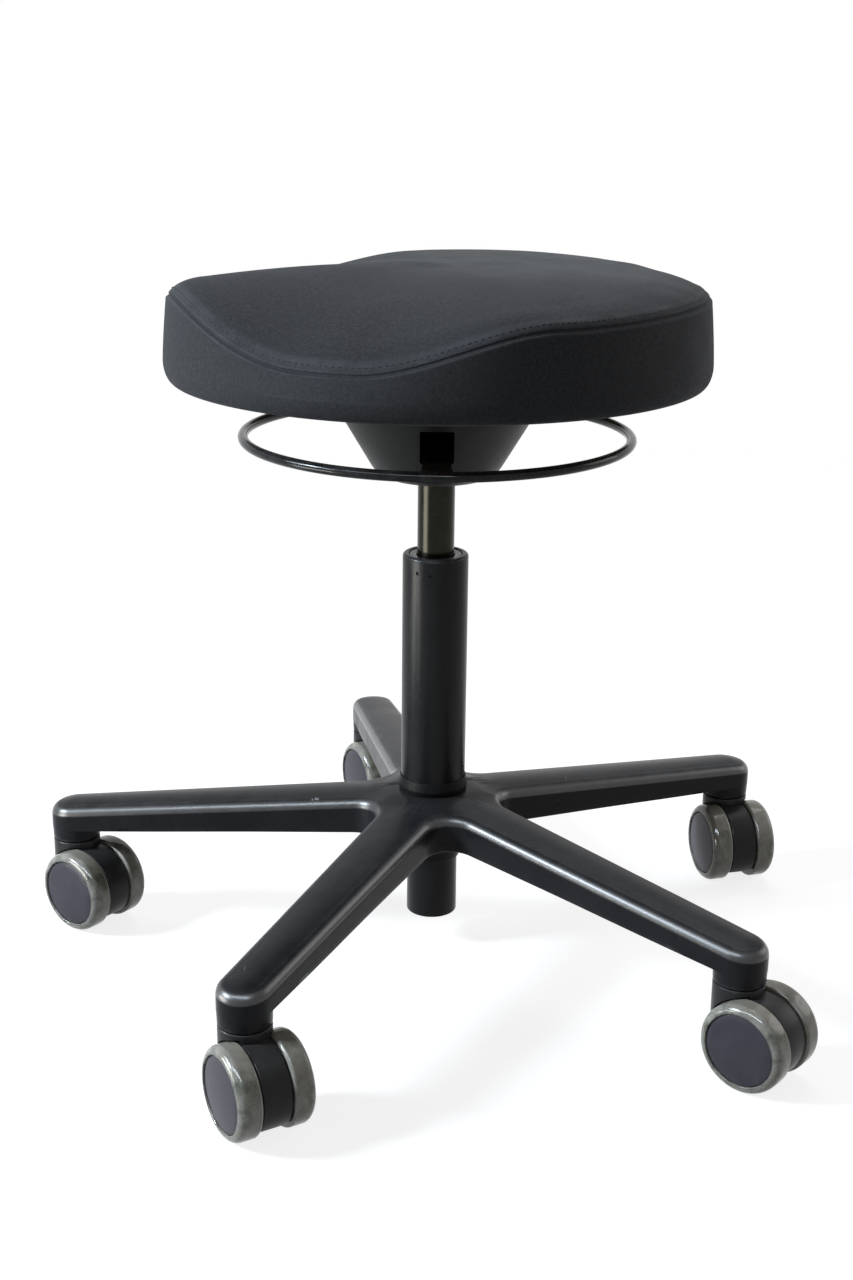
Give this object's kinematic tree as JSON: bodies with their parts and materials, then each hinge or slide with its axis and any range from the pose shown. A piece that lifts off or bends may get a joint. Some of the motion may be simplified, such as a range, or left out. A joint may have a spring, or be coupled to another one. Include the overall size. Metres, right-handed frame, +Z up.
{
  "type": "work stool",
  "caption": "Round saddle-shaped work stool seat with thigh scoops on a gas lift column, with an all-round release ring, a star base of legs and twin-wheel swivel castors.",
  "frame": {"origin": "on the floor, on the column's axis", "axes": "+Z up along the column; the release lever's arm points along -Y, and the seat's nose points 17 degrees from -X towards -Y"},
  "size_m": [0.6088, 0.6302, 0.537],
  "materials": {
    "powder_coat": "satin black powder coat with a fine grain",
    "painted_steel": "semi-gloss black paint on steel",
    "gloss_wire": "gloss black coat on steel wire",
    "gun_metal": "dark polished spring cylinder",
    "zinc_steel": "zinc-plated steel",
    "black_plastic": "moulded black plastic",
    "wheel_plastic": "charcoal moulded plastic with a slight violet cast",
    "tyre_grey": "glossy grey-green soft polyurethane",
    "buffer_rubber": "black rubber",
    "seat_cloth": "black coated upholstery cloth with a fine grain",
    "seat_foam": "grey moulded foam",
    "plywood": "birch plywood"
  },
  "bodies": {
    "base": {"base_star": "powder_coat", "column_tube": "painted_steel", "column_collar": "black_plastic", "guide_bush": "black_plastic", "bearing_washer_lower": "zinc_steel", "castor_1_stem": "zinc_steel", "castor_2_stem": "zinc_steel", "castor_3_stem": "zinc_steel", "castor_4_stem": "zinc_steel", "castor_5_stem": "zinc_steel"},
    "spring_rod": {"piston_rod": "gun_metal", "bearing_cage": "zinc_steel", "bearing_washer_upper": "zinc_steel", "rubber_buffer": "buffer_rubber", "retaining_clip": "zinc_steel"},
    "seat": {"gas_cylinder": "gun_metal", "seat_plate": "painted_steel", "lever_pivot_pin": "zinc_steel", "cone_cover": "black_plastic", "seat_board": "plywood", "seat_foam": "seat_foam", "cover_top_panel": "seat_cloth", "cover_side_band": "seat_cloth", "seat_screw_1": "zinc_steel", "seat_screw_2": "zinc_steel", "seat_screw_3": "zinc_steel", "seat_screw_4": "zinc_steel"},
    "ring_lever": {"release_ring": "gloss_wire", "ring_arm": "painted_steel"},
    "valve_pin": {"release_pin": "zinc_steel"},
    "castor_1": {"castor_1_housing": "black_plastic", "castor_1_axle": "zinc_steel"},
    "castor_1_left": {"castor_1_left_wheel": "wheel_plastic", "castor_1_left_tyre": "tyre_grey"},
    "castor_1_right": {"castor_1_right_wheel": "wheel_plastic", "castor_1_right_tyre": "tyre_grey"},
    "castor_2": {"castor_2_housing": "black_plastic", "castor_2_axle": "zinc_steel"},
    "castor_2_left": {"castor_2_left_wheel": "wheel_plastic", "castor_2_left_tyre": "tyre_grey"},
    "castor_2_right": {"castor_2_right_wheel": "wheel_plastic", "castor_2_right_tyre": "tyre_grey"},
    "castor_3": {"castor_3_housing": "black_plastic", "castor_3_axle": "zinc_steel"},
    "castor_3_left": {"castor_3_left_wheel": "wheel_plastic", "castor_3_left_tyre": "tyre_grey"},
    "castor_3_right": {"castor_3_right_wheel": "wheel_plastic", "castor_3_right_tyre": "tyre_grey"},
    "castor_4": {"castor_4_housing": "black_plastic", "castor_4_axle": "zinc_steel"},
    "castor_4_left": {"castor_4_left_wheel": "wheel_plastic", "castor_4_left_tyre": "tyre_grey"},
    "castor_4_right": {"castor_4_right_wheel": "wheel_plastic", "castor_4_right_tyre": "tyre_grey"},
    "castor_5": {"castor_5_housing": "black_plastic", "castor_5_axle": "zinc_steel"},
    "castor_5_left": {"castor_5_left_wheel": "wheel_plastic", "castor_5_left_tyre": "tyre_grey"},
    "castor_5_right": {"castor_5_right_wheel": "wheel_plastic", "castor_5_right_tyre": "tyre_grey"}
  },
  "joints": [
    {"name": "seat_swivel", "type": "hinge", "parent": "base", "child": "spring_rod", "pos_m": [0, 0, 0], "axis": [0, 0, 1], "continuous": true},
    {"name": "seat_lift", "type": "slide", "parent": "spring_rod", "child": "seat", "axis": [0, 0, 1], "range_m": [-0.05, 0.085]},
    {"name": "ring_tilt", "type": "hinge", "parent": "seat", "child": "ring_lever", "pos_m": [0, -0.026, 0.437], "axis": [-1, 0, 0], "range_deg": [0, 4.58], "stiffness_Nm_per_rad": 6, "springref_deg": -4.58},
    {"name": "pin_press", "type": "slide", "parent": "seat", "child": "valve_pin", "axis": [0, 0, -1], "range_m": [0, 0.0021]},
    {"name": "castor_1_swivel", "type": "hinge", "parent": "base", "child": "castor_1", "pos_m": [-0.28981, 0.03404, 0], "axis": [0, 0, 1], "continuous": true},
    {"name": "castor_1_left_spin", "type": "hinge", "parent": "castor_1", "child": "castor_1_left", "pos_m": [-0.27503, 0.02258, 0.0325], "axis": [0.6129, 0.7902, 0], "continuous": true},
    {"name": "castor_1_right_spin", "type": "hinge", "parent": "castor_1", "child": "castor_1_right", "pos_m": [-0.27503, 0.02258, 0.0325], "axis": [0.6129, 0.7902, 0], "continuous": true},
    {"name": "castor_2_swivel", "type": "hinge", "parent": "base", "child": "castor_2", "pos_m": [-0.12193, -0.2651, 0], "axis": [0, 0, 1], "continuous": true},
    {"name": "castor_2_left_spin", "type": "hinge", "parent": "castor_2", "child": "castor_2_left", "pos_m": [-0.11216, -0.28105, 0.0325], "axis": [0.8526, 0.5225, 0], "continuous": true},
    {"name": "castor_2_right_spin", "type": "hinge", "parent": "castor_2", "child": "castor_2_right", "pos_m": [-0.11216, -0.28105, 0.0325], "axis": [0.8526, 0.5225, 0], "continuous": true},
    {"name": "castor_3_swivel", "type": "hinge", "parent": "base", "child": "castor_3", "pos_m": [0.21445, -0.19789, 0], "axis": [0, 0, 1], "continuous": true},
    {"name": "castor_3_left_spin", "type": "hinge", "parent": "castor_3", "child": "castor_3_left", "pos_m": [0.22869, -0.21001, 0.0325], "axis": [0.6481, 0.7615, 0], "continuous": true},
    {"name": "castor_3_right_spin", "type": "hinge", "parent": "castor_3", "child": "castor_3_right", "pos_m": [0.22869, -0.21001, 0.0325], "axis": [0.6481, 0.7615, 0], "continuous": true},
    {"name": "castor_4_swivel", "type": "hinge", "parent": "base", "child": "castor_4", "pos_m": [0.25447, 0.1428, 0], "axis": [0, 0, 1], "continuous": true},
    {"name": "castor_4_left_spin", "type": "hinge", "parent": "castor_4", "child": "castor_4_left", "pos_m": [0.25937, 0.12476, 0.0325], "axis": [0.965, 0.2622, 0], "continuous": true},
    {"name": "castor_4_right_spin", "type": "hinge", "parent": "castor_4", "child": "castor_4_right", "pos_m": [0.25937, 0.12476, 0.0325], "axis": [0.965, 0.2622, 0], "continuous": true},
    {"name": "castor_5_swivel", "type": "hinge", "parent": "base", "child": "castor_5", "pos_m": [-0.05718, 0.28614, 0], "axis": [0, 0, 1], "continuous": true},
    {"name": "castor_5_left_spin", "type": "hinge", "parent": "castor_5", "child": "castor_5_left", "pos_m": [-0.0484, 0.26963, 0.0325], "axis": [0.8829, 0.4695, 0], "continuous": true},
    {"name": "castor_5_right_spin", "type": "hinge", "parent": "castor_5", "child": "castor_5_right", "pos_m": [-0.0484, 0.26963, 0.0325], "axis": [0.8829, 0.4695, 0], "continuous": true}
  ],
  "couplings": [
    {"joint": "pin_press", "follows": "ring_tilt", "m_per_rad": 0.026}
  ]
}
